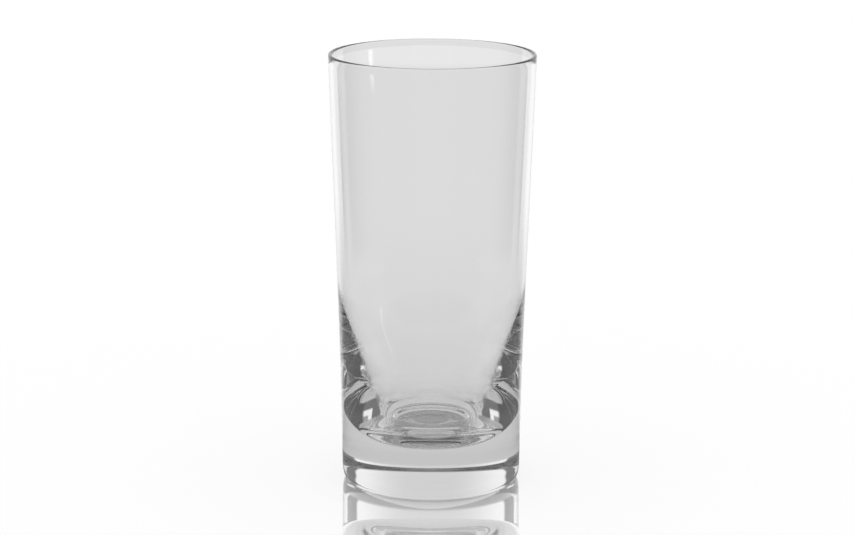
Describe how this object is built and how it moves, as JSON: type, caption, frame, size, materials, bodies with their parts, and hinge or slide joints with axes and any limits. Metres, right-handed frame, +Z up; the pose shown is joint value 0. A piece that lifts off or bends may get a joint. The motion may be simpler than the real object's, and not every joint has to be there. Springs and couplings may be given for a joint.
{
  "type": "drinking glass",
  "caption": "Tall clear drinking glass with a thin tapered wall, a rounded inside and a thick solid glass base that it stands on.",
  "frame": {"origin": "middle of the resting face, on the surface that the glass stands on", "axes": "+Z up along the glass's axis of turning, towards the mouth; X and Y are free to choose on a round glass"},
  "size_m": [0.0712, 0.0712, 0.15],
  "materials": {
    "clear_glass": "clear and polished"
  },
  "bodies": {
    "root": {"tumbler": "clear_glass"}
  },
  "joints": []
}
